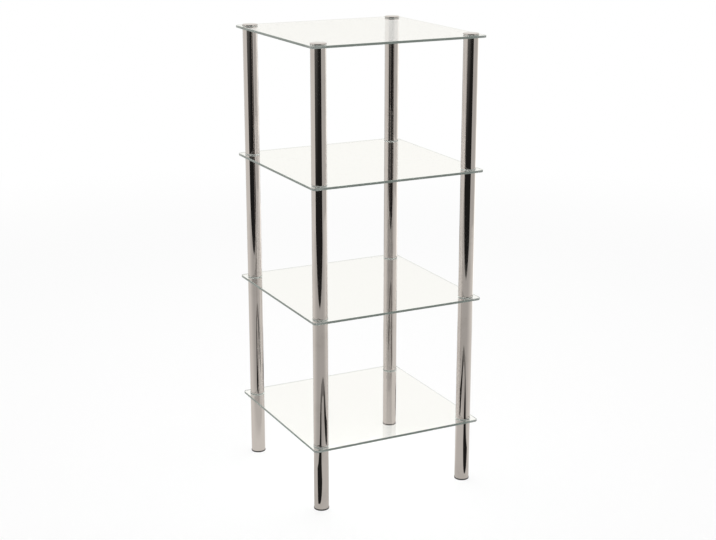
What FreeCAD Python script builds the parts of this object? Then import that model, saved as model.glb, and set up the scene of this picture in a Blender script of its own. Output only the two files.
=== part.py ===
import FreeCAD, Part
import math
import os

# Glass etagere: square glass shelves on four columns of chromed tube.
# Each column is a stack of short tubes. A threaded stud through a hole in the glass pulls the tube below a
# shelf and the tube above it together, and a clear washer on each side keeps the metal off the glass.
# Lengths are in millimetres. +Z is up, the front is at -Y, and the origin is on the floor, in the middle.

# Glass shelves
SHELF_SIDE = 400.0
GLASS_THICKNESS = 5.0
GLASS_CORNER_RADIUS = 8.0
GLASS_ARRIS = 0.5            # ground bevel along every outer edge
COLUMN_INSET = 25.0          # from a shelf's edge to a column's axis

# Column tubes
TUBE_DIAMETER = 32.0
TUBE_WALL = 1.2
TUBE_RIM_BREAK = 0.3         # deburred outer rim at each tube end
LEG_LENGTH = 137.0
POST_LENGTH = 277.0

# Studs through the glass and the inserts that take them
STUD_DIAMETER = 8.0
STUD_ENGAGEMENT = 14.0       # length of stud inside each insert
STUD_TIP_BREAK = 1.0
INSERT_DEPTH = 18.0
INSERT_END_THICKNESS = 4.0
INSERT_RIM_DEPTH = 10.0
INSERT_RIM_WALL = 2.0
INSERT_BOSS_WALL = 4.0       # metal round the thread

# Clear washers, each with a collar that lines the hole in the glass
WASHER_THICKNESS = 1.0
COLLAR_WALL = 1.5

# Washers, caps and feet stand out past the tube by this much all round
RIM_OVERHANG = 0.5

# Top caps
CAP_HEIGHT = 3.0
CAP_EDGE_RADIUS = 1.0
CAP_CROWN = 0.5              # rise of the cap's top from its rounded edge to its middle

# Feet
FOOT_THICKNESS = 3.0
FOOT_EDGE_RADIUS = 1.0
FOOT_PLUG_DEPTH = 16.0
FOOT_PLUG_WALL = 2.0
FOOT_FIN_COUNT = 4
FOOT_FIN_THICKNESS = 1.2
FOOT_FIN_REACH = 0.9         # how far a fin stands out of the plug

# Clearances, per side
PRESS_CLEARANCE = 0.05       # inserts and foot fins in the tube
THREAD_CLEARANCE = 0.05      # studs in inserts
STUD_CLEARANCE = 0.2         # studs in washers
COLLAR_CLEARANCE = 0.3       # collars in the glass
COLLAR_END_CLEARANCE = 0.1   # collars from the middle of the glass

# Sizes that follow from those above
tube_radius = TUBE_DIAMETER / 2
bore_radius = tube_radius - TUBE_WALL
rim_radius = tube_radius + RIM_OVERHANG
stud_radius = STUD_DIAMETER / 2
thread_radius = stud_radius + THREAD_CLEARANCE
washer_hole_radius = stud_radius + STUD_CLEARANCE
collar_radius = washer_hole_radius + COLLAR_WALL
glass_hole_radius = collar_radius + COLLAR_CLEARANCE
clamped_height = GLASS_THICKNESS + 2 * WASHER_THICKNESS
column_offset = SHELF_SIDE / 2 - COLUMN_INSET
leg_top = FOOT_THICKNESS + LEG_LENGTH
shelf_pitch = POST_LENGTH + clamped_height

CORNERS = {
    "front_left": (-1, -1),
    "front_right": (1, -1),
    "rear_right": (1, 1),
    "rear_left": (-1, 1),
}
SHELF_NAMES = ["bottom_shelf", "lower_shelf", "upper_shelf", "top_shelf"]
POST_NAMES = ["lower_post", "middle_post", "upper_post"]


def column_axes():
    """Plan position of each column's axis, by corner name."""
    return {name: (x * column_offset, y * column_offset) for name, (x, y) in CORNERS.items()}


def glass_bottom(level):
    """Height of the underside of a shelf, counted from the lowest."""
    return leg_top + WASHER_THICKNESS + level * shelf_pitch


def profile_point(radius, height):
    """A point of a turned piece's half section."""
    return FreeCAD.Vector(radius, 0, height)


def line(start, end):
    return Part.LineSegment(start, end).toShape()


def arc(start, middle, end):
    return Part.Arc(start, middle, end).toShape()


def turned(edges):
    """Solid of revolution about Z from the closed half section that the edges make."""
    section = Part.Face(Part.Wire(edges))
    return section.revolve(FreeCAD.Vector(0, 0, 0), FreeCAD.Vector(0, 0, 1), 360)


def turned_polygon(points):
    """Solid of revolution from the corners of a straight-sided half section."""
    corners = [profile_point(radius, height) for radius, height in points]
    following = corners[1:] + corners[:1]
    return turned([line(start, end) for start, end in zip(corners, following)])


def upside_down(shape):
    """The shape turned over about the X axis."""
    turned_over = shape.copy()
    turned_over.rotate(FreeCAD.Vector(0, 0, 0), FreeCAD.Vector(1, 0, 0), 180)
    return turned_over


def placed(shape, x, y, z):
    """A copy of the shape moved to a place."""
    moved = shape.copy()
    moved.translate(FreeCAD.Vector(x, y, z))
    return moved


def one_per_column(shape, height):
    """Four copies of a piece, one on each column's axis at one height, as separate solids."""
    return Part.makeCompound([placed(shape, x, y, height) for x, y in column_axes().values()])


def save(node, shape):
    shape.exportStep("parts/" + node + ".step")


def glass_shelf():
    """Square plate with rounded corners, bevelled edges and a hole for each column, standing on z = 0."""
    half = SHELF_SIDE / 2
    plate = Part.makeBox(SHELF_SIDE, SHELF_SIDE, GLASS_THICKNESS, FreeCAD.Vector(-half, -half, 0))
    upright_edges = [edge for edge in plate.Edges if edge.BoundBox.ZLength > GLASS_THICKNESS / 2]
    plate = plate.makeFillet(GLASS_CORNER_RADIUS, upright_edges)
    flat_edges = [edge for edge in plate.Edges if edge.BoundBox.ZLength < GLASS_THICKNESS / 2]
    plate = plate.makeChamfer(GLASS_ARRIS, flat_edges)
    hole = Part.makeCylinder(glass_hole_radius, GLASS_THICKNESS)
    return plate.cut(one_per_column(hole, 0))


def column_tube(length):
    """Open tube with both outer rims deburred; its lower end is at z = 0."""
    outer = tube_radius - TUBE_RIM_BREAK
    return turned_polygon([
        (bore_radius, 0),
        (outer, 0),
        (tube_radius, TUBE_RIM_BREAK),
        (tube_radius, length - TUBE_RIM_BREAK),
        (outer, length),
        (bore_radius, length),
    ])


def end_insert():
    """Cup-shaped plug pressed into a tube's end, with a threaded boss; its outer end is at z = 0."""
    outer = bore_radius - PRESS_CLEARANCE
    boss = thread_radius + INSERT_BOSS_WALL
    return turned_polygon([
        (thread_radius, 0),
        (outer, 0),
        (outer, INSERT_RIM_DEPTH),
        (outer - INSERT_RIM_WALL, INSERT_RIM_DEPTH),
        (outer - INSERT_RIM_WALL, INSERT_END_THICKNESS),
        (boss, INSERT_END_THICKNESS),
        (boss, INSERT_DEPTH),
        (thread_radius, INSERT_DEPTH),
    ])


def joining_stud():
    """Stud with bevelled tips, for the inserts above and below a shelf; its middle is at z = 0."""
    half_length = clamped_height / 2 + STUD_ENGAGEMENT
    tip = stud_radius - STUD_TIP_BREAK
    return turned_polygon([
        (0, -half_length),
        (tip, -half_length),
        (stud_radius, STUD_TIP_BREAK - half_length),
        (stud_radius, half_length - STUD_TIP_BREAK),
        (tip, half_length),
        (0, half_length),
    ])


def collared_washer():
    """Washer under the glass, with its collar standing in the hole; the washer's top face is at z = 0."""
    collar_height = GLASS_THICKNESS / 2 - COLLAR_END_CLEARANCE
    return turned_polygon([
        (washer_hole_radius, -WASHER_THICKNESS),
        (rim_radius, -WASHER_THICKNESS),
        (rim_radius, 0),
        (collar_radius, 0),
        (collar_radius, collar_height),
        (washer_hole_radius, collar_height),
    ])


def top_cap():
    """Low crowned cap with a threaded stem below it; the cap's flat underside is at z = 0."""
    stem_length = clamped_height + STUD_ENGAGEMENT
    shoulder = CAP_HEIGHT - CAP_CROWN
    flat_radius = rim_radius - CAP_EDGE_RADIUS
    bend = CAP_EDGE_RADIUS * math.sqrt(0.5)
    crown_radius = (flat_radius ** 2 + CAP_CROWN ** 2) / (2 * CAP_CROWN)
    half_way = math.asin(flat_radius / crown_radius) / 2
    crown_drop = crown_radius * (1 - math.cos(half_way))
    stem_foot = profile_point(0, -stem_length)
    stem_tip = profile_point(stud_radius - STUD_TIP_BREAK, -stem_length)
    stem_side = profile_point(stud_radius, STUD_TIP_BREAK - stem_length)
    stem_root = profile_point(stud_radius, 0)
    cap_rim = profile_point(rim_radius, 0)
    edge_start = profile_point(rim_radius, shoulder - CAP_EDGE_RADIUS)
    edge_middle = profile_point(flat_radius + bend, shoulder - CAP_EDGE_RADIUS + bend)
    edge_end = profile_point(flat_radius, shoulder)
    crown_middle = profile_point(crown_radius * math.sin(half_way), CAP_HEIGHT - crown_drop)
    crown_top = profile_point(0, CAP_HEIGHT)
    return turned([
        line(stem_foot, stem_tip),
        line(stem_tip, stem_side),
        line(stem_side, stem_root),
        line(stem_root, cap_rim),
        line(cap_rim, edge_start),
        arc(edge_start, edge_middle, edge_end),
        arc(edge_end, crown_middle, crown_top),
        line(crown_top, stem_foot),
    ])


def finned_plug():
    """Corners of the outside of a foot's plug, from its root upwards: a core with evenly spaced fins."""
    fin_radius = bore_radius - PRESS_CLEARANCE
    core_radius = fin_radius - FOOT_FIN_REACH
    spacing = FOOT_PLUG_DEPTH / FOOT_FIN_COUNT
    corners = [(core_radius, FOOT_THICKNESS)]
    for fin in range(FOOT_FIN_COUNT):
        fin_top = FOOT_THICKNESS + (fin + 1) * spacing - FOOT_FIN_THICKNESS / 2
        fin_bottom = fin_top - FOOT_FIN_THICKNESS
        corners += [(core_radius, fin_bottom), (fin_radius, fin_bottom)]
        corners += [(fin_radius, fin_top), (core_radius, fin_top)]
    plug_top = FOOT_THICKNESS + FOOT_PLUG_DEPTH
    inside = core_radius - FOOT_PLUG_WALL
    corners += [(core_radius, plug_top), (inside, plug_top)]
    return corners + [(inside, FOOT_THICKNESS), (0, FOOT_THICKNESS)]


def foot():
    """Glide with a rounded lower edge and a finned hollow plug; it stands on z = 0."""
    bend = FOOT_EDGE_RADIUS * (1 - math.sqrt(0.5))
    centre = profile_point(0, 0)
    sole_edge = profile_point(rim_radius - FOOT_EDGE_RADIUS, 0)
    edge_middle = profile_point(rim_radius - bend, bend)
    side_bottom = profile_point(rim_radius, FOOT_EDGE_RADIUS)
    side_top = profile_point(rim_radius, FOOT_THICKNESS)
    corners = [side_top] + [profile_point(radius, height) for radius, height in finned_plug()] + [centre]
    edges = [line(start, end) for start, end in zip(corners, corners[1:])]
    return turned(edges + [
        line(centre, sole_edge),
        arc(sole_edge, edge_middle, side_bottom),
        line(side_bottom, side_top),
    ])


def save_columns():
    """Feet, leg tubes, post tubes and caps: one node each at every corner."""
    top_of_top_washer = glass_bottom(len(SHELF_NAMES) - 1) + GLASS_THICKNESS + WASHER_THICKNESS
    for corner, (x, y) in column_axes().items():
        save("foot_" + corner, placed(foot(), x, y, 0))
        save("leg_" + corner, placed(column_tube(LEG_LENGTH), x, y, FOOT_THICKNESS))
        for level, post in enumerate(POST_NAMES):
            base = glass_bottom(level) + GLASS_THICKNESS + WASHER_THICKNESS
            save(post + "_" + corner, placed(column_tube(POST_LENGTH), x, y, base))
        save("cap_" + corner, placed(top_cap(), x, y, top_of_top_washer))


def save_shelves():
    """Each glass shelf with the washers under it and on it."""
    for level, shelf in enumerate(SHELF_NAMES):
        underside = glass_bottom(level)
        save(shelf, placed(glass_shelf(), 0, 0, underside))
        washer = collared_washer()
        save(shelf + "_washers_below", one_per_column(washer, underside))
        save(shelf + "_washers_above", one_per_column(upside_down(washer), underside + GLASS_THICKNESS))


def save_threaded_joints():
    """Inserts in the tube ends, and the studs that join the tubes through all shelves but the top one."""
    insert_up = end_insert()
    insert_down = upside_down(insert_up)
    save("leg_top_inserts", one_per_column(insert_down, leg_top))
    for level, post in enumerate(POST_NAMES):
        underside = glass_bottom(level)
        base = underside + GLASS_THICKNESS + WASHER_THICKNESS
        save(SHELF_NAMES[level] + "_studs", one_per_column(joining_stud(), underside + GLASS_THICKNESS / 2))
        save(post + "_bottom_inserts", one_per_column(insert_up, base))
        save(post + "_top_inserts", one_per_column(insert_down, base + POST_LENGTH))


os.makedirs("parts", exist_ok=True)
save_columns()
save_shelves()
save_threaded_joints()
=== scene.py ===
# %% [markdown]
# This lesson dresses a glass etagere: four square shelves of clear glass, held between columns of chromed
# tube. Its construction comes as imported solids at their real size, in metres, with the floor at height zero.
# Loading them first means that every finish and every lamp is placed by the real object, with nothing to fit
# later.

# %% Load the construction
import math

import bmesh
import bpy
from mathutils import Matrix, Vector


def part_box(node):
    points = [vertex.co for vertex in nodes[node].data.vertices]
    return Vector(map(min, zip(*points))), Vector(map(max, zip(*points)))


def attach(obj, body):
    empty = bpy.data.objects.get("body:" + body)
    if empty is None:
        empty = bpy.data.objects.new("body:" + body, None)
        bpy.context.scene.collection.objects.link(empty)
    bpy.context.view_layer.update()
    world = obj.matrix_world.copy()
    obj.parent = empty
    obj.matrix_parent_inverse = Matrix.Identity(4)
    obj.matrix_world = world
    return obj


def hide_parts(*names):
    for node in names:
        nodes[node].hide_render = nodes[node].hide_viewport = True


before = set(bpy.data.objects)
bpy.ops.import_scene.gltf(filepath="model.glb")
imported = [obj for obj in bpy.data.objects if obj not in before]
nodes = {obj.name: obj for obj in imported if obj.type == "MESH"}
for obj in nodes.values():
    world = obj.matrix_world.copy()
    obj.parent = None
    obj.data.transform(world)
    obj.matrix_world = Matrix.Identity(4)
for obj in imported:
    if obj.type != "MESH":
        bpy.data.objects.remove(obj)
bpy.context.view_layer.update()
scene = bpy.context.scene
print("pieces loaded:", len(nodes))

# %% [markdown]
# The finishes and the new meshes need a few places and sizes: where the columns stand, how thick they are,
# and how far the shelves reach. They are read from the solids' own boxes, so they follow if the construction
# changes.

# %% Measure the columns and the shelves
cap_low, cap_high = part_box("cap_front_right")
column_offset = (cap_low.x + cap_high.x) / 2
rim_radius = (cap_high.x - cap_low.x) / 2
tube_low, tube_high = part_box("leg_front_right")
tube_radius = (tube_high.x - tube_low.x) / 2
shelf_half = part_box("top_shelf")[1].x
print("columns stand", round(column_offset, 4), "m from the middle, each way")
print("tube radius", round(tube_radius, 4), "m, washer and cap radius", round(rim_radius, 4), "m")
print("shelves reach", round(shelf_half, 4), "m from the middle")

# %% [markdown]
# A finish in Blender is a tree of shader nodes. Making a node, setting its inputs and linking it takes three
# lines each time, so small helpers do it. One adds a node and sets its inputs by the names seen in the
# editor. Another starts a node group, which is a finish detail that several materials can share.

# %% Helpers for shader nodes


def set_inputs(tree, node, inputs):
    """Links or sets a node's inputs, by name or number."""
    for name, value in inputs.items():
        socket = node.inputs[name]
        if isinstance(value, bpy.types.NodeSocket):
            tree.links.new(value, socket)
        else:
            socket.default_value = value


def add_node(tree, kind, inputs=None, **settings):
    """Adds a shader node, sets its options, then its inputs."""
    node = tree.nodes.new("ShaderNode" + kind)
    for option, value in settings.items():
        setattr(node, option, value)
    set_inputs(tree, node, inputs or {})
    return node


def start_group(name, inputs, outputs):
    """Starts a node group and gives its tree, its inputs by name and its output node."""
    tree = bpy.data.node_groups.new(name, "ShaderNodeTree")
    for title, kind in inputs.items():
        tree.interface.new_socket(title, in_out="INPUT", socket_type="NodeSocket" + kind)
    for title in outputs:
        tree.interface.new_socket(title, in_out="OUTPUT", socket_type="NodeSocketFloat")
    entry = tree.nodes.new("NodeGroupInput")
    return tree, entry.outputs, tree.nodes.new("NodeGroupOutput")


def use_group(tree, group, inputs):
    """Places a node group in a material and gives its one output."""
    node = tree.nodes.new("ShaderNodeGroup")
    node.node_tree = group
    set_inputs(tree, node, inputs)
    return node.outputs[0]


def math_node(tree, operation, first, second=0.0, third=0.0):
    """One sum on numbers or sockets, giving its result."""
    return add_node(tree, "Math", {0: first, 1: second, 2: third}, operation=operation).outputs[0]


def ramp(tree, value, low, high, to_low=0.0, to_high=1.0, smooth=False):
    """Maps a value from one range to another, held at the ends."""
    kind = "SMOOTHSTEP" if smooth else "LINEAR"
    inputs = {"Value": value, "From Min": low, "From Max": high, "To Min": to_low, "To Max": to_high}
    return add_node(tree, "MapRange", inputs, interpolation_type=kind).outputs["Result"]


def between(tree, amount, first, second):
    """A number between two numbers, by an amount from zero to one."""
    return ramp(tree, amount, 0.0, 1.0, first, second)


print("node helpers ready")

# %% [markdown]
# Tube is drawn through a die, which leaves very fine streaks along it, and plating keeps them.
# Noise that is squeezed across the tube and stretched along it gives such streaks.

# %% Drawn streaks, a group
STREAK_RANGE = (0.35, 0.65)    # the noise that gives no streak, and that gives a full one


def drawn_streaks_group():
    tree, entry, out = start_group(
        "drawn_streaks", {"Position": "Vector", "Across": "Float", "Along": "Float"}, ["Streak"])
    stretch = add_node(tree, "CombineXYZ", {"X": entry["Across"], "Y": entry["Across"], "Z": entry["Along"]})
    place = add_node(tree, "VectorMath", {0: entry["Position"], 1: stretch.outputs[0]}, operation="MULTIPLY")
    noise = add_node(tree, "TexNoise", {"Vector": place.outputs[0], "Scale": 1.0, "Detail": 3.0})
    tree.links.new(ramp(tree, noise.outputs[0], *STREAK_RANGE), out.inputs["Streak"])
    return tree


drawn_streaks = drawn_streaks_group()
print("group:", drawn_streaks.name)

# %% [markdown]
# Chrome and glass are never quite clean: hands leave a faint film in patches, with finer marks inside them.
# Large noise picks the patches and small noise breaks them up. The film only dulls the shine a little.

# %% Handling film, a group
PATCH_RANGE = (0.48, 0.72)     # the noise that gives no film, and that gives a full one
MARKS_PER_PATCH = 9.0
MARK_RANGE = (0.3, 0.7)
MARK_FILMS = (0.35, 1.0)       # how much film the marks leave


def handling_film_group():
    tree, entry, out = start_group("handling_film", {"Position": "Vector", "Patches": "Float"}, ["Film"])
    patch = add_node(tree, "TexNoise", {
        "Vector": entry["Position"], "Scale": entry["Patches"], "Detail": 4.0, "Distortion": 0.6})
    fine_scale = math_node(tree, "MULTIPLY", entry["Patches"], MARKS_PER_PATCH)
    fine = add_node(tree, "TexNoise", {"Vector": entry["Position"], "Scale": fine_scale, "Detail": 3.0})
    where = ramp(tree, patch.outputs[0], *PATCH_RANGE, smooth=True)
    broken = ramp(tree, fine.outputs[0], *MARK_RANGE, *MARK_FILMS)
    tree.links.new(math_node(tree, "MULTIPLY", where, broken), out.inputs["Film"])
    return tree


handling_film = handling_film_group()
print("group:", handling_film.name)

# %% [markdown]
# Neither tube nor float glass is perfectly true. A very slow, shallow wave bends reflections slightly, and
# that small error is much of what makes a mirror finish look real.

# %% Slow wave, a group


def slow_wave_group():
    tree, entry, out = start_group("slow_wave", {"Position": "Vector", "Waves": "Float"}, ["Height"])
    noise = add_node(tree, "TexNoise", {"Vector": entry["Position"], "Scale": entry["Waves"], "Detail": 0.5})
    tree.links.new(noise.outputs[0], out.inputs["Height"])
    return tree


slow_wave = slow_wave_group()
print("group:", slow_wave.name)

# %% [markdown]
# Caps, inserts and studs are turned on a lathe, which leaves fine rings round their axis. Each of the four
# columns has its own axis. Because they stand at equal distances from the middle, taking the distance
# without its sign measures from the nearest column, so one group serves all four.

# %% Turning rings, a group
RING_RANGE = (0.3, 0.7)        # the noise that gives no ring, and that gives a full one


def turning_rings_group():
    tree, entry, out = start_group(
        "turning_rings", {"Position": "Vector", "Column Offset": "Float", "Rings": "Float"}, ["Ring"])
    parts = add_node(tree, "SeparateXYZ", {0: entry["Position"]}).outputs
    from_axis = []
    for axis in ("X", "Y"):
        size = math_node(tree, "ABSOLUTE", parts[axis])
        from_axis.append(math_node(tree, "SUBTRACT", size, entry["Column Offset"]))
    flat = add_node(tree, "CombineXYZ", {"X": from_axis[0], "Y": from_axis[1]})
    radius = add_node(tree, "VectorMath", {0: flat.outputs[0]}, operation="LENGTH").outputs["Value"]
    turns = math_node(tree, "MULTIPLY", radius, entry["Rings"])
    height = math_node(tree, "MULTIPLY", parts["Z"], entry["Rings"])
    place = add_node(tree, "CombineXYZ", {"X": turns, "Z": height})
    noise = add_node(tree, "TexNoise", {"Vector": place.outputs[0], "Scale": 1.0, "Detail": 2.0})
    tree.links.new(ramp(tree, noise.outputs[0], *RING_RANGE), out.inputs["Ring"])
    return tree


turning_rings = turning_rings_group()
print("group:", turning_rings.name)

# %% [markdown]
# Every material starts the same way: a Principled shader, its output, and the object's own coordinates. The
# pieces sit at the origin, so their object coordinates are metres in the etagere's own frame. Most then get
# a colour and a roughness that change over the surface.

# %% Start of a material
MIX_COLOURS = (6, 7)           # a Mix node's two colour inputs, by number
MIX_RESULT = 2                 # and its colour output


def start_material(name):
    """A new material with one Principled shader: the material, its tree, the shader and the position."""
    material = bpy.data.materials.new(name)
    material.use_nodes = True
    tree = material.node_tree
    shader = tree.nodes["Principled BSDF"]
    position = add_node(tree, "TexCoord").outputs["Object"]
    return material, tree, shader, position


def blend_colour(tree, amount, first, second):
    """A colour between two colours or sockets, by an amount that changes over the surface."""
    mix = add_node(tree, "Mix", {"Factor": amount}, data_type="RGBA")
    for number, colour in zip(MIX_COLOURS, (first, second)):
        linked = isinstance(colour, bpy.types.NodeSocket)
        set_inputs(tree, mix, {number: colour if linked else (*colour, 1.0)})
    return mix.outputs[MIX_RESULT]


def mix_surface(tree, share, first, second):
    """Makes the surface a mix of two shaders: none of the second at a share of zero, all of it at one."""
    mix = add_node(tree, "MixShader", {0: share, 1: first.outputs[0], 2: second.outputs[0]})
    tree.links.new(mix.outputs[0], tree.nodes["Material Output"].inputs["Surface"])


def add_bump(tree, shader, height, depth):
    """Feeds the shader's normal with a bump of the given depth in metres."""
    bump = add_node(tree, "Bump", {"Height": height, "Distance": depth, "Strength": 1.0})
    tree.links.new(bump.outputs[0], shader.inputs["Normal"])


print("material helpers ready")

# %% [markdown]
# The columns are steel tube with bright chrome plate. Chrome is a mirror that sends back a little over half
# of the light, slightly warm here. Its colour, shine and flatness all vary a little: the film dulls it in
# patches, the drawn streaks roughen it in fine lines, and the slow wave bends what it mirrors.

# %% Bright chrome of the tubes
TUBE_CLEAN = (0.60, 0.556, 0.532)
CHROME_FILMED = (0.55, 0.508, 0.482)    # under the film, on tubes and caps alike
TUBE_ROUGHNESS = (0.025, 0.09)          # clean, and under the film
STREAK_ROUGHNESS = 0.02                 # what a full streak adds


def tube_chrome_finish():
    material, tree, shader, position = start_material("bright_chrome_tube")
    film = use_group(tree, handling_film, {"Position": position, "Patches": 14.0})
    streak = use_group(tree, drawn_streaks, {"Position": position, "Across": 2600.0, "Along": 12.0})
    wave = use_group(tree, slow_wave, {"Position": position, "Waves": 18.0})
    dull = between(tree, film, *TUBE_ROUGHNESS)
    set_inputs(tree, shader, {
        "Base Color": blend_colour(tree, film, TUBE_CLEAN, CHROME_FILMED),
        "Roughness": math_node(tree, "MULTIPLY_ADD", streak, STREAK_ROUGHNESS, dull),
        "Metallic": 1.0})
    add_bump(tree, shader, wave, depth=0.00001)
    return material


tube_chrome = tube_chrome_finish()
print("finish:", tube_chrome.name)

# %% [markdown]
# The caps are turned from bar before plating, so they carry rings round their axis instead of streaks. The
# rings are far too fine to see one by one. They only spread the highlight on the crown a little.

# %% Turned chrome of the caps
CAP_CLEAN = (0.61, 0.566, 0.542)
CAP_ROUGHNESS = (0.04, 0.11)            # clean, and under the film
RING_ROUGHNESS = 0.04                   # what a full ring adds


def rings_on(tree, position, rings):
    """The turning rings round the nearest column's axis."""
    return use_group(tree, turning_rings, {
        "Position": position, "Column Offset": column_offset, "Rings": rings})


def cap_chrome_finish():
    material, tree, shader, position = start_material("turned_chrome_cap")
    film = use_group(tree, handling_film, {"Position": position, "Patches": 40.0})
    ring = rings_on(tree, position, rings=2200.0)
    dull = between(tree, film, *CAP_ROUGHNESS)
    set_inputs(tree, shader, {
        "Base Color": blend_colour(tree, film, CAP_CLEAN, CHROME_FILMED),
        "Roughness": math_node(tree, "MULTIPLY_ADD", ring, RING_ROUGHNESS, dull),
        "Metallic": 1.0})
    add_bump(tree, shader, ring, depth=0.000001)
    return material


cap_chrome = cap_chrome_finish()
print("finish:", cap_chrome.name)

# %% [markdown]
# The shelves are clear float glass. Straight through, it is almost without colour, so the finish is a plain
# glass shader with a faint tint. The film makes it very slightly dull in patches, and the slow wave is that
# of float glass. Lamps pass through by a transparent shader for shadow rays, because tracing every ray that
# the glass bends would take far longer and look much the same.

# %% Clear glass of the shelves
GLASS_IOR = 1.52
GLASS_TINT = (0.993, 0.996, 0.99)
GLASS_ROUGHNESS = (0.0, 0.006)          # clean, and under the film
LAMP_TINT = (0.95, 0.96, 0.95)          # of lamp light that has passed through one face


def shelf_glass_finish():
    material, tree, shader, position = start_material("clear_shelf_glass")
    film = use_group(tree, handling_film, {"Position": position, "Patches": 7.0})
    wave = use_group(tree, slow_wave, {"Position": position, "Waves": 9.0})
    set_inputs(tree, shader, {
        "Base Color": (*GLASS_TINT, 1.0),
        "Roughness": between(tree, film, *GLASS_ROUGHNESS),
        "Transmission Weight": 1.0,
        "IOR": GLASS_IOR})
    add_bump(tree, shader, wave, depth=0.00002)
    lamp_light = add_node(tree, "BsdfTransparent", {"Color": (*LAMP_TINT, 1.0)})
    shadow_ray = add_node(tree, "LightPath").outputs["Is Shadow Ray"]
    mix_surface(tree, shadow_ray, shader, lamp_light)
    return material


shelf_glass = shelf_glass_finish()
print("finish:", shelf_glass.name)

# %% [markdown]
# The edges of the shelves are ground flat, which leaves them satin. Light that reaches an edge has crossed
# the whole shelf, so the edge looks grey and green where the face looks clear. Near a corner it has crossed
# less glass, and the edge is paler. Tracing that light would take dozens of bounces, so the edge gets a
# satin finish of the colour that comes out. From inside the glass an edge hardly shows, so its back side
# lets most light pass, and less where it bends round a corner. The Backfacing output of the Geometry node
# tells the two sides apart.

# %% Ground edges of the shelves
CORNER_PALE = 0.008         # from a corner, along both edges together, to where the edge is palest
CORNER_DEEP = 0.040         # and to where it has its full colour
EDGE_SMOOTH = (0.242, 0.283, 0.256)
EDGE_GRAIN = (0.302, 0.338, 0.31)
EDGE_CORNER = (0.38, 0.415, 0.39)
EDGE_ROUGHNESS = (0.22, 0.4)
EDGE_PASSING = (0.70, 0.73, 0.71)       # the light that the back side lets pass
CORNER_PASSING = (0.42, 0.45, 0.43)


def near_corner(tree, position):
    """One at the corners of a shelf, falling to zero along its edges."""
    parts = add_node(tree, "SeparateXYZ", {0: position}).outputs
    along_x = math_node(tree, "ABSOLUTE", parts["X"])
    along_y = math_node(tree, "ABSOLUTE", parts["Y"])
    reach = 2 * shelf_half
    along = math_node(tree, "ADD", along_x, along_y)
    return ramp(tree, along, reach - CORNER_DEEP, reach - CORNER_PALE, smooth=True)


def ground_edge_finish():
    material, tree, shader, position = start_material("ground_glass_edge")
    grain = use_group(tree, handling_film, {"Position": position, "Patches": 60.0})
    corner = near_corner(tree, position)
    middle = blend_colour(tree, grain, EDGE_SMOOTH, EDGE_GRAIN)
    set_inputs(tree, shader, {
        "Base Color": blend_colour(tree, corner, middle, EDGE_CORNER),
        "Roughness": between(tree, grain, *EDGE_ROUGHNESS),
        "IOR": GLASS_IOR})
    passing = blend_colour(tree, corner, EDGE_PASSING, CORNER_PASSING)
    clear = add_node(tree, "BsdfTransparent", {"Color": passing})
    back_side = add_node(tree, "NewGeometry").outputs["Backfacing"]
    mix_surface(tree, back_side, shader, clear)
    return material


ground_edge = ground_edge_finish()
print("finish:", ground_edge.name)

# %% [markdown]
# The washers are soft clear plastic. They are milky, so they let only a little light through and look pale
# grey.

# %% Clear plastic of the washers
WASHER_CLEAN = (0.74, 0.77, 0.74)
WASHER_FILMED = (0.64, 0.67, 0.64)
WASHER_ROUGHNESS = (0.22, 0.4)          # clean, and under the film
WASHER_CLEARNESS = 0.1
PLASTIC_IOR = 1.45


def clear_washer_finish():
    material, tree, shader, position = start_material("milky_washer_plastic")
    film = use_group(tree, handling_film, {"Position": position, "Patches": 120.0})
    set_inputs(tree, shader, {
        "Base Color": blend_colour(tree, film, WASHER_CLEAN, WASHER_FILMED),
        "Roughness": between(tree, film, *WASHER_ROUGHNESS),
        "Transmission Weight": WASHER_CLEARNESS,
        "IOR": PLASTIC_IOR})
    return material


clear_washer = clear_washer_finish()
print("finish:", clear_washer.name)

# %% [markdown]
# The feet are moulded in black plastic with a fine matt grain. Floor dust settles on their rims, so the film
# group is used here to lighten the black a little and to dull it.

# %% Black plastic of the feet
FOOT_CLEAN = (0.012, 0.012, 0.012)
FOOT_DUSTY = (0.045, 0.043, 0.04)
FOOT_ROUGHNESS = (0.38, 0.6)            # clean, and under the dust


def foot_plastic_finish():
    material, tree, shader, position = start_material("black_foot_plastic")
    dust = use_group(tree, handling_film, {"Position": position, "Patches": 90.0})
    grain = use_group(tree, slow_wave, {"Position": position, "Waves": 2500.0})
    set_inputs(tree, shader, {
        "Base Color": blend_colour(tree, dust, FOOT_CLEAN, FOOT_DUSTY),
        "Roughness": between(tree, dust, *FOOT_ROUGHNESS)})
    add_bump(tree, shader, grain, depth=0.00005)
    return material


foot_plastic = foot_plastic_finish()
print("finish:", foot_plastic.name)

# %% [markdown]
# The studs and inserts are hidden inside the columns. They are plain turned steel: the studs zinc plated and
# paler, the inserts a little darker. One function makes both, because only their colours differ.

# %% Turned steel of the studs and inserts
STUD_COLOURS = ((0.62, 0.61, 0.58), (0.50, 0.49, 0.46))      # between the rings, and on them
INSERT_COLOURS = ((0.54, 0.53, 0.51), (0.43, 0.42, 0.40))
STEEL_ROUGHNESS = (0.22, 0.36)


def turned_steel_finish(name, colours):
    material, tree, shader, position = start_material(name)
    ring = rings_on(tree, position, rings=1500.0)
    set_inputs(tree, shader, {
        "Base Color": blend_colour(tree, ring, *colours),
        "Roughness": between(tree, ring, *STEEL_ROUGHNESS),
        "Metallic": 1.0})
    add_bump(tree, shader, ring, depth=0.000004)
    return material


stud_steel = turned_steel_finish("zinc_stud_steel", STUD_COLOURS)
insert_steel = turned_steel_finish("insert_steel_turned", INSERT_COLOURS)
print("finishes:", stud_steel.name, insert_steel.name)

# %% [markdown]
# Each solid arrives with a plain material named after its slot in the record. Swapping those for the
# finishes above dresses every piece at once, and no piece can be forgotten.

# %% Dress the pieces

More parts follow.
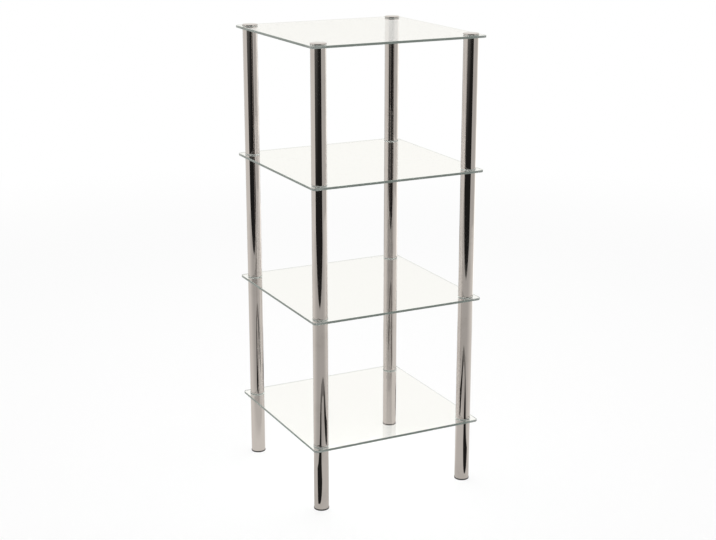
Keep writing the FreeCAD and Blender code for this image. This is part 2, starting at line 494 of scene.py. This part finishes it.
finishes = {
    "tube_chrome": tube_chrome,
    "cap_chrome": cap_chrome,
    "shelf_glass": shelf_glass,
    "clear_washer": clear_washer,
    "foot_plastic": foot_plastic,
    "stud_steel": stud_steel,
    "insert_steel": insert_steel,
}
for piece in nodes.values():
    for slot in piece.material_slots:
        slot.material = finishes[slot.material.name]
print("pieces dressed:", len(nodes))

# %% [markdown]
# Some pieces are drawn again as meshes. Such a mesh is made of loops of points with faces between them, so
# helpers draw an arc, join two loops, and turn the finished shape into an object.

# %% Helpers for meshes
QUARTER_TURN = math.pi / 2


def arc_2d(centre_x, centre_y, radius, start, sweep, steps):
    """Points on an arc, without its last one if the arc is a full circle."""
    count = steps if sweep == math.tau else steps + 1
    turns = [start + sweep * step / steps for step in range(count)]
    return [(centre_x + radius * math.cos(turn), centre_y + radius * math.sin(turn)) for turn in turns]


def join_loops(shape, lower, upper):
    """Faces between two closed loops of vertices."""
    for i in range(len(lower)):
        j = (i + 1) % len(lower)
        shape.faces.new((lower[i], lower[j], upper[j], upper[i]))


def finish_mesh(shape, name, sharp_angle):
    """Turns a bmesh into an object, smooth except where faces meet at more than an angle."""
    bmesh.ops.recalc_face_normals(shape, faces=shape.faces)
    mesh = bpy.data.meshes.new(name)
    shape.to_mesh(mesh)
    shape.free()
    mesh.shade_smooth()
    mesh.set_sharp_from_angle(angle=sharp_angle)
    made = bpy.data.objects.new(name, mesh)
    scene.collection.objects.link(made)
    return made


print("mesh helpers ready")

# %% [markdown]
# A shelf needs two finishes, one on its faces and one on its ground edges, so each shelf is drawn again as a
# mesh of the same size. An outline and four holes are repeated at four heights, and the outermost two
# outlines are drawn in by the bevel. Joining the rings gives the edges, and filling the first and last gives
# the faces.

# %% Cut the glass shelves
GLASS_CORNER_RADIUS = 0.008
GLASS_ARRIS = 0.0005        # the small bevel ground along every outer edge
GLASS_HOLE_RADIUS = 0.006
CORNER_STEPS = 10
HOLE_STEPS = 48
CORNER_SIGNS = ((1, 1), (-1, 1), (-1, -1), (1, -1))
EDGE_SLOT = 1               # the ground edge is a pane's second material
PANE_SHARP_ANGLE = math.radians(30)
SHELVES = ("bottom_shelf", "lower_shelf", "upper_shelf", "top_shelf")


def shelf_loops(inset):
    """A shelf's outline, drawn in by an inset, and its four holes."""
    reach = shelf_half - GLASS_CORNER_RADIUS
    radius = GLASS_CORNER_RADIUS - inset
    outline = []
    holes = []
    for quarter, (x, y) in enumerate(CORNER_SIGNS):
        start = quarter * QUARTER_TURN
        outline += arc_2d(x * reach, y * reach, radius, start, QUARTER_TURN, CORNER_STEPS)
        hole_x = x * column_offset
        hole_y = y * column_offset
        holes.append(arc_2d(hole_x, hole_y, GLASS_HOLE_RADIUS, 0, math.tau, HOLE_STEPS))
    return [outline] + holes


def shelf_rings(shape, low, high):
    """Vertices of the outline and the holes at four heights, from the bottom up."""
    levels = [
        (low, GLASS_ARRIS),
        (low + GLASS_ARRIS, 0.0),
        (high - GLASS_ARRIS, 0.0),
        (high, GLASS_ARRIS),
    ]
    rings = []
    for height, inset in levels:
        rings.append([[shape.verts.new((x, y, height)) for x, y in loop] for loop in shelf_loops(inset)])
    return rings


def fill_level(shape, level):
    """A flat face inside the outline of one height and round its holes."""
    flat = {vertex for loop in level for vertex in loop}
    edges = [edge for edge in shape.edges if flat.issuperset(edge.verts)]
    bmesh.ops.triangle_fill(shape, use_beauty=True, edges=edges)


def cut_shelf(node):
    low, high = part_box(node)
    shape = bmesh.new()
    rings = shelf_rings(shape, low.z, high.z)
    for lower, upper in zip(rings, rings[1:]):
        for lower_loop, upper_loop in zip(lower, upper):
            join_loops(shape, lower_loop, upper_loop)
    edge_faces = len(shape.faces)
    fill_level(shape, rings[0])
    fill_level(shape, rings[-1])
    shape.faces.ensure_lookup_table()
    for face in shape.faces[:edge_faces]:
        face.material_index = EDGE_SLOT
    pane = finish_mesh(shape, node + "_pane", PANE_SHARP_ANGLE)
    pane.data.materials.append(shelf_glass)
    pane.data.materials.append(ground_edge)
    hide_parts(node)
    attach(pane, "root")
    return pane


for shelf in SHELVES:
    pane = cut_shelf(shelf)
    print(pane.name, "faces:", len(pane.data.polygons))

# %% [markdown]
# A washer is a thin disc with a collar that lines the hole in the glass. It is soft, so under a tube's
# bevelled rim it squeezes out into a small bead, and that bead is the pale ring that shows at each joint.
# Under a flat cap it has no bead. Turning a half section about the column's axis makes one. A hair's breadth
# is left between it and the glass, because two faces at one height would flicker.

# %% Turn the clear washers
WASHER_HOLE_RADIUS = 0.0042
COLLAR_RADIUS = 0.0057
WASHER_ROUNDING = 0.0003
TUBE_BEVEL = 0.0003         # the bevel on a tube's outer rim, which the bead fills
FACE_GAP = 0.00002
TURN_STEPS = 64
WASHER_SHARP_ANGLE = math.radians(50)


def washer_section(glass_face, tube_face, collar_end, beaded):
    """Half section of a washer as pairs of radius and height, from the tube's side round to the collar."""
    outward = math.copysign(1.0, tube_face - glass_face)
    tube_side = tube_face - outward * FACE_GAP
    glass_side = glass_face + outward * FACE_GAP
    bead = []
    if beaded:
        bead_top = tube_side + outward * TUBE_BEVEL
        bead = [
            (tube_radius - TUBE_BEVEL, tube_side),
            (tube_radius + FACE_GAP, bead_top),
            (tube_radius + TUBE_BEVEL / 2, bead_top + outward * TUBE_BEVEL / 6),
        ]
    return [(WASHER_HOLE_RADIUS, tube_side)] + bead + [
        (rim_radius - WASHER_ROUNDING / 2, tube_side),
        (rim_radius, tube_side - outward * WASHER_ROUNDING),
        (rim_radius, glass_side + outward * WASHER_ROUNDING),
        (rim_radius - WASHER_ROUNDING, glass_side),
        (COLLAR_RADIUS, glass_side),
        (COLLAR_RADIUS, collar_end),
        (WASHER_HOLE_RADIUS, collar_end),
    ]


def turn_section(shape, section, x, y):
    """Turns a closed half section about an upright axis at a place."""
    loops = []
    for radius, height in section:
        ring = arc_2d(x, y, radius, 0, math.tau, TURN_STEPS)
        loops.append([shape.verts.new((px, py, height)) for px, py in ring])
    for first, second in zip(loops, loops[1:] + loops[:1]):
        join_loops(shape, first, second)


def turn_washers(node, glass_face, tube_face, collar_end):
    section = washer_section(glass_face, tube_face, collar_end, node != "top_shelf_washers_above")
    shape = bmesh.new()
    for x, y in CORNER_SIGNS:
        turn_section(shape, section, x * column_offset, y * column_offset)
    washers = finish_mesh(shape, node + "_rings", WASHER_SHARP_ANGLE)
    washers.data.materials.append(clear_washer)
    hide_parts(node)
    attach(washers, "root")
    return washers


for shelf in SHELVES:
    underside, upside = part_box(shelf)
    low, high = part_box(shelf + "_washers_below")
    below = turn_washers(shelf + "_washers_below", underside.z, low.z, high.z)
    low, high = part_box(shelf + "_washers_above")
    above = turn_washers(shelf + "_washers_above", upside.z, high.z, low.z)
    print(below.name, above.name)

# %% [markdown]
# Chrome and glass have almost no colour of their own, so they look like what stands round them. The studio
# is therefore part of the finish: a white floor and background, and a dark room on the viewer's side that
# draws the dark bands down the columns. First comes the camera, which shows where the viewer's side is.

# %% Place the camera
CAMERA_AZIMUTH = math.radians(-26.63)      # from straight in front, towards the left
CAMERA_DISTANCE = 3.0868
CAMERA_HEIGHT = 1.3716
CAMERA_SIDE = 0.0005
CAMERA_PITCH = math.radians(16.34)
CAMERA_ROLL = math.radians(0.02)
CAMERA_LENS = 72.62                        # millimetres, like the sensor's width
SENSOR_WIDTH = 36.0


def plan_direction(azimuth):
    """A level direction: zero points out of the front, and positive turns towards the right side."""
    return Vector((math.sin(azimuth), -math.cos(azimuth), 0.0))


def place_camera():
    camera = bpy.data.objects.new("camera", bpy.data.cameras.new("camera"))
    scene.collection.objects.link(camera)
    camera.data.lens = CAMERA_LENS
    camera.data.sensor_width = SENSOR_WIDTH
    sideways = plan_direction(CAMERA_AZIMUTH + QUARTER_TURN)
    place = plan_direction(CAMERA_AZIMUTH) * CAMERA_DISTANCE + sideways * CAMERA_SIDE
    place.z = CAMERA_HEIGHT
    turn = Matrix.Rotation(CAMERA_AZIMUTH, 4, "Z")
    tilt = Matrix.Rotation(QUARTER_TURN - CAMERA_PITCH, 4, "X")
    roll = Matrix.Rotation(CAMERA_ROLL, 4, "Z")
    camera.matrix_world = Matrix.Translation(place) @ turn @ tilt @ roll
    scene.camera = camera
    return camera


camera = place_camera()
print("camera at", [round(v, 3) for v in camera.matrix_world.translation])

# %% [markdown]
# The studio's pieces look different to different rays. A Light Path node tells the rays apart: its Glossy
# Depth counts the mirrors that a ray has met. A shelf turns a ray over each time it mirrors it, and an
# upright column doesn't. A ray that still heads down after an odd count must therefore have met a column,
# and one that heads up after an even count too.
#
# Cycles also aims rays at glowing surfaces to find their light. That is switched off on the floor and on all
# stage pieces, because it would put specks on the chrome.

# %% Helpers for the studio


def plain_mesh(name, corners, faces):
    """A stage object from corner points and faces."""
    mesh = bpy.data.meshes.new(name)
    mesh.from_pydata([tuple(corner) for corner in corners], [], faces)
    made = bpy.data.objects.new(name, mesh)
    scene.collection.objects.link(made)
    return made


def start_glow(name):
    """A new material without its shader, whose glow takes no aimed rays: the material and its tree."""
    material, tree, shader, _ = start_material(name)
    tree.nodes.remove(shader)
    material.cycles.emission_sampling = "NONE"
    return material, tree


def without(tree, share):
    """One less a share."""
    return math_node(tree, "SUBTRACT", 1.0, share)


def seen_in_chrome(tree):
    """One for rays heading down that come from a column, straight or through glass, and else zero."""
    path = add_node(tree, "LightPath").outputs
    odd_count = math_node(tree, "MODULO", path["Glossy Depth"], 2.0)
    from_mirror = math_node(tree, "MULTIPLY", path["Is Glossy Ray"], path["Is Reflection Ray"])
    return math_node(tree, "MAXIMUM", odd_count, from_mirror)


def seen_in_shelves_in_chrome(tree):
    """One for rays heading up that come from a shelf mirrored in a column, and else zero."""
    met = add_node(tree, "LightPath").outputs["Glossy Depth"]
    any_mirror = math_node(tree, "GREATER_THAN", met, 0.5)
    return math_node(tree, "SUBTRACT", any_mirror, math_node(tree, "MODULO", met, 2.0))


print("studio helpers ready")

# %% [markdown]
# The floor is a wide white sheet. Straight from the camera, and through glass, it is nearly pure white with
# a faint shadow of the etagere on it. In the chrome it shows painted light and shade instead: dimmer in front,
# where the viewer stands, and brighter close in under the lamp, to the sides and at the back. With distance it
# fades to plain white, so that it has no horizon.

# %% Lay the floor
FLOOR_HALF = 40.0
FADE_START = 1.6
FADE_END = 3.4
SEEN_WHITE = 0.85                     # share of plain white near the etagere, seen from the camera
FLOOR_COLOUR = (0.85, 0.85, 0.85)     # where the lamp lights it
WHITE = (1.0, 1.0, 1.0)
IVORY = (0.952, 0.942, 0.905)         # the surroundings in the chrome
PANE_WHITE = (0.977, 0.967, 0.932)    # the surroundings through the glass
# Painted light and shade of the floor as the chrome sees it: a painted pool of lamp light close in, painted
# shade in front.
DIM_FACING = math.radians(-26.0)
DIM_TONE = 0.6
BRIGHT_TONE = 0.95
DIM_SPREAD = 0.82                     # cosine of the angle from the dim direction where brightening starts
NEAR_TONE = 0.76                      # close to the etagere, under the lamp
NEAR_START = 0.42
NEAR_END = 0.65


def painted_mirror_light(tree, place, distance, fade):
    """The floor's painted light and shade in a mirror: dim in front, brighter close in and beside, white far
    away.
    """
    outward = add_node(tree, "VectorMath", {0: place}, operation="NORMALIZE").outputs[0]
    facing = {0: outward, 1: plan_direction(DIM_FACING)}
    front = add_node(tree, "VectorMath", facing, operation="DOT_PRODUCT").outputs["Value"]
    tone = ramp(tree, front, 0.0, DIM_SPREAD, BRIGHT_TONE, DIM_TONE)
    near_tone = ramp(tree, distance, NEAR_START, NEAR_END, NEAR_TONE, DIM_TONE, smooth=True)
    return math_node(tree, "MAXIMUM", math_node(tree, "MAXIMUM", tone, near_tone), fade)


def floor_finish():
    material, tree = start_glow("white_floor_sheet")
    path = add_node(tree, "LightPath").outputs
    mirrored = seen_in_chrome(tree)
    place = add_node(tree, "NewGeometry").outputs["Position"]
    distance = add_node(tree, "VectorMath", {0: place}, operation="LENGTH").outputs["Value"]
    fade = ramp(tree, distance, FADE_START, FADE_END, smooth=True)
    seen = math_node(tree, "MAXIMUM", path["Is Camera Ray"], path["Is Transmission Ray"])
    near_white = math_node(tree, "MULTIPLY", seen, SEEN_WHITE)
    lit_share = math_node(tree, "MULTIPLY", without(tree, near_white), without(tree, fade))
    white_share = math_node(tree, "MAXIMUM", without(tree, lit_share), mirrored)
    straight = blend_colour(tree, path["Is Transmission Ray"], WHITE, PANE_WHITE)
    painted_shade = without(tree, painted_mirror_light(tree, place, distance, fade))
    lit = add_node(tree, "BsdfDiffuse", {"Color": (*FLOOR_COLOUR, 1.0)})
    white = add_node(tree, "Emission", {
        "Color": blend_colour(tree, mirrored, straight, IVORY),
        "Strength": without(tree, math_node(tree, "MULTIPLY", mirrored, painted_shade))})
    mix_surface(tree, white_share, lit, white)
    return material


corners = [(x * FLOOR_HALF, y * FLOOR_HALF, 0) for x, y in ((-1, -1), (1, -1), (1, 1), (-1, 1))]
floor = plain_mesh("floor", corners, [(0, 1, 2, 3)])
floor.data.materials.append(floor_finish())
print("floor laid, half width", FLOOR_HALF, "m")

# %% [markdown]
# The rest of the studio is there only for the columns to mirror. Its pieces give off their own light,
# because lamps would light the etagere as well. They are hidden from the camera and from matt surfaces, and
# a mask lets all rays pass but those that have met a column.

# %% Finishes that only the columns see


def keep_out_of_sight(stage_object):
    """Hides a stage object from the camera and from the light on matt surfaces."""
    stage_object.visible_camera = False
    stage_object.visible_diffuse = False
    stage_object.visible_shadow = False
    stage_object.visible_volume_scatter = False


def show_to_some(tree, strength, share):
    """Shows an ivory glow to the rays that a mask picks, and lets the others pass."""
    passing = add_node(tree, "BsdfTransparent")
    glow = add_node(tree, "Emission", {"Color": (*IVORY, 1.0), "Strength": strength})
    mix_surface(tree, share, passing, glow)


def even_finish(name, strength):
    """A surface that gives off its own even light."""
    material, tree = start_glow(name)
    show_to_some(tree, strength, seen_in_chrome(tree))
    return material


def graded_finish(name, axis, span, glows, seen=seen_in_chrome):
    """A surface whose own light changes evenly over a span of the X or Y axis."""
    material, tree = start_glow(name)
    place = add_node(tree, "NewGeometry").outputs["Position"]
    along = add_node(tree, "SeparateXYZ", {0: place}).outputs[axis]
    show_to_some(tree, ramp(tree, along, *span, *glows), seen(tree))
    return material


print("finishes for the columns' reflections ready")

# %% [markdown]
# On the viewer's side the white sheet ends and a dark floor begins, which draws the dark bands down the
# columns. Where a column mirrors a shelf, and the shelf mirrors the room, a dark curtain carries the bands
# on. A smaller dark floor and curtain behind do the same for a view from the back.

# %% Lay the dark floors and hang the curtains
DARK_EDGE = 1.67                          # from the middle to the edge of the white sheet
DARK_REACH = 14.0
DARK_GLOWS = (0.02, 0.15)                 # the glow of the dark floor over the span, which runs to the left
DARK_SPAN = (-2.6, -7.5)
FRONT_FACING = math.radians(-29.0)
FRONT_LEFT = math.radians(-80.0)
FRONT_RIGHT = math.radians(14.0)
REAR_FACING = math.radians(151.0)
REAR_LEFT = math.radians(123.0)
REAR_RIGHT = math.radians(179.0)
CURTAIN_HEIGHT = 7.0
ARC_STEPS = 24
LIFT = 0.002                              # these pieces lie this far above the sheet


def arc_points(radius, start, end):
    """Points on the floor along an arc round the middle."""
    turns = [start + (end - start) * step / ARC_STEPS for step in range(ARC_STEPS + 1)]
    return [plan_direction(turn) * radius for turn in turns]


def place_piece(name, corners, faces, finish):
    """A stage piece in its finish, out of sight."""
    piece = plain_mesh(name, corners, faces)
    piece.data.materials.append(finish)
    keep_out_of_sight(piece)


def lay_sheet(name, outline, finish):
    """A flat piece on the floor."""
    points = [point + Vector((0, 0, LIFT)) for point in outline]
    place_piece(name, points, [tuple(range(len(points)))], finish)


def strip_faces(count):
    """Faces between two lines of points, listed one line after the other."""
    return [(i, i + 1, count + i + 1, count + i) for i in range(count - 1)]


def darken_room(side, facing, left, right):
    """A dark floor beyond a straight edge, between two directions, and a curtain round it."""
    edge = [plan_direction(turn) * (DARK_EDGE / math.cos(turn - facing)) for turn in (left, right)]
    lay_sheet(side + "_dark_floor", edge + arc_points(DARK_REACH, right, left), dark_floor)
    foot = arc_points(DARK_REACH, left, right)
    head = [point + Vector((0, 0, CURTAIN_HEIGHT)) for point in foot]
    place_piece(side + "_curtain", foot + head, strip_faces(len(foot)), dark_curtain)


dark_floor = graded_finish("dark_floor", "X", DARK_SPAN, DARK_GLOWS)
dark_curtain = graded_finish("dark_curtain", "X", DARK_SPAN, DARK_GLOWS, seen_in_shelves_in_chrome)
darken_room("front", FRONT_FACING, FRONT_LEFT, FRONT_RIGHT)
darken_room("rear", REAR_FACING, REAR_LEFT, REAR_RIGHT)
print("dark floors begin", DARK_EDGE, "m from the middle")

# %% [markdown]
# Close in front, a narrow dark band in the shape of a U lies on the sheet: a painted shadow of the etagere,
# which only the chrome sees. It draws the thin dark streaks in the legs and the lowest posts. Behind lies one
# arm of the same painted shadow, turned half round.

# %% Lay the painted shadow bands
BAND_STATIONS = [    # places on the middle of the band, and its width there
    (-0.212, -0.200, 0.02), (-0.308, -0.267, 0.24), (-0.355, -0.400, 0.19), (-0.385, -0.520, 0.17),
    (-0.415, -0.660, 0.18), (-0.410, -0.760, 0.17), (-0.340, -0.860, 0.15), (-0.210, -0.920, 0.13),
    (-0.070, -0.930, 0.13), (0.070, -0.880, 0.15), (0.150, -0.770, 0.20), (0.180, -0.660, 0.24),
    (0.190, -0.550, 0.22), (0.205, -0.420, 0.20), (0.235, -0.300, 0.18), (0.181, -0.222, 0.012)]
REAR_BAND_COUNT = 8
# The painted shadow is darkest next to the etagere and lightens away from it.
SHADOW_BAND_GLOWS = (0.02, 0.25)    # the glow of the band over the span, which runs away from the etagere
BAND_SPAN = (0.65, 0.9)


def lay_painted_shadow_band(name, stations, side):
    """A curved band of painted shadow, as a strip with a left and a right edge. Side is -1 in front and 1
    behind.
    """
    path = [Vector((-side * x, -side * y, LIFT)) for x, y, _ in stations]
    left = []
    right = []
    for i, (point, (_, _, width)) in enumerate(zip(path, stations)):
        along = (path[min(i + 1, len(path) - 1)] - path[max(i - 1, 0)]).normalized()
        across = Vector((-along.y, along.x, 0.0)) * (width / 2)
        left.append(point + across)
        right.append(point - across)
    finish = graded_finish(name, "Y", [side * place for place in BAND_SPAN], SHADOW_BAND_GLOWS)
    place_piece(name, left + right, strip_faces(len(path)), finish)


lay_painted_shadow_band("front_painted_shadow_band", BAND_STATIONS, -1)
lay_painted_shadow_band("rear_painted_shadow_band", BAND_STATIONS[:REAR_BAND_COUNT], 1)
print("stations along the front band:", len(BAND_STATIONS))

# %% [markdown]
# Beside the dark floor lie a bright sheet on the left and a dimmer one on the right. Walls would do the same
# for the columns, but the shelves would mirror them. A shelf sends its rays up, so it never sees what lies
# on the floor.

# %% Lay the side sheets
SIDE_SHEET_START = 2.5
LEFT_SHEET_BACK = math.radians(-150.0)
LEFT_SHEET_GLOW = 0.92
RIGHT_SHEET_BACK = math.radians(80.0)
RIGHT_SHEET_GLOW = 0.66


def lay_side_sheet(name, start, end, glow):
    """A sheet between two directions, from its start out to the reach of the dark floor."""
    outline = arc_points(SIDE_SHEET_START, start, end) + arc_points(DARK_REACH, end, start)
    lay_sheet(name, outline, even_finish(name, glow))


lay_side_sheet("left_side_sheet", LEFT_SHEET_BACK, FRONT_LEFT, LEFT_SHEET_GLOW)
lay_side_sheet("right_side_sheet", FRONT_RIGHT, RIGHT_SHEET_BACK, RIGHT_SHEET_GLOW)
print("side sheets start", SIDE_SHEET_START, "m from the middle")

# %% [markdown]
# A lamp box close by on the right gives the columns a bright right edge. It is a stack of slats that shine
# upwards only, for the same reason: a column sends its rays down on to them, and a shelf sends its rays up,
# to their undersides. The Backfacing output of the Geometry node tells the two sides of a slat apart.

# %% Stand the lamp box
LAMP_BOX_NEAR = 1.2
LAMP_BOX_FAR = 2.0
LAMP_BOX_FRONT = -0.33
LAMP_BOX_BACK = 1.6
LAMP_BOX_GLOWS = (0.95, 1.65)    # the glow of the slats over the span, which runs to the back
LAMP_BOX_SPAN = (0.0, 0.45)
SLAT_COUNT = 16
SLAT_GAP = 0.1


def seen_on_upper_side(tree):
    """One for rays from a column that come down on to a slat, and else zero."""
    upper_side = without(tree, add_node(tree, "NewGeometry").outputs["Backfacing"])
    return math_node(tree, "MULTIPLY", seen_in_chrome(tree), upper_side)


def stand_lamp_box():
    corners = []
    faces = []
    for step in range(SLAT_COUNT):
        height = LIFT + step * SLAT_GAP
        first = len(corners)
        corners += [
            (LAMP_BOX_NEAR, LAMP_BOX_FRONT, height),
            (LAMP_BOX_FAR, LAMP_BOX_FRONT, height),
            (LAMP_BOX_FAR, LAMP_BOX_BACK, height),
            (LAMP_BOX_NEAR, LAMP_BOX_BACK, height),
        ]
        faces.append((first, first + 1, first + 2, first + 3))
    finish = graded_finish("lamp_box_slats", "Y", LAMP_BOX_SPAN, LAMP_BOX_GLOWS, seen_on_upper_side)
    place_piece("lamp_box", corners, faces, finish)


stand_lamp_box()
print("slats in the lamp box:", SLAT_COUNT)

# %% [markdown]
# Plain studio light: one large soft lamp overhead and a little behind, and an even fill from the
# surroundings. The lamp is wide, so shadows are faint and have no hard edge. It stays out of mirrors,
# because its glare on the shelves would hide what stands behind them. The surroundings are white to the
# camera, and slightly ivory to mirrors and glass, like the sheet.

# %% Light the studio
LAMP_PLACE = Vector((0.3, 0.6, 3.2))
LAMP_SIZE = 2.6
LAMP_POWER = 92.0
FILL = 0.35
SEEN_COLOURS = {"Is Glossy Ray": IVORY, "Is Transmission Ray": PANE_WHITE, "Is Camera Ray": WHITE}


def hang_lamp():
    data = bpy.data.lights.new("studio_lamp", "AREA")
    data.energy = LAMP_POWER
    data.size = LAMP_SIZE
    lamp = bpy.data.objects.new("studio_lamp", data)
    scene.collection.objects.link(lamp)
    lamp.location = LAMP_PLACE
    lamp.rotation_euler = LAMP_PLACE.to_track_quat("Z", "Y").to_euler()
    lamp.visible_glossy = False


def light_surroundings():
    world = bpy.data.worlds.new("studio_surroundings")
    world.use_nodes = True
    scene.world = world
    tree = world.node_tree
    path = add_node(tree, "LightPath").outputs
    back = add_node(tree, "Background", {"Color": (*WHITE, 1.0), "Strength": FILL})
    for ray, colour in SEEN_COLOURS.items():
        seen = add_node(tree, "Background", {"Color": (*colour, 1.0), "Strength": 1.0})
        back = add_node(tree, "MixShader", {0: path[ray], 1: back.outputs[0], 2: seen.outputs[0]})
    tree.links.new(back.outputs[0], tree.nodes["World Output"].inputs["Surface"])


hang_lamp()
light_surroundings()
scene.view_settings.view_transform = "Standard"
print("lamp power", LAMP_POWER, "W, fill", FILL)
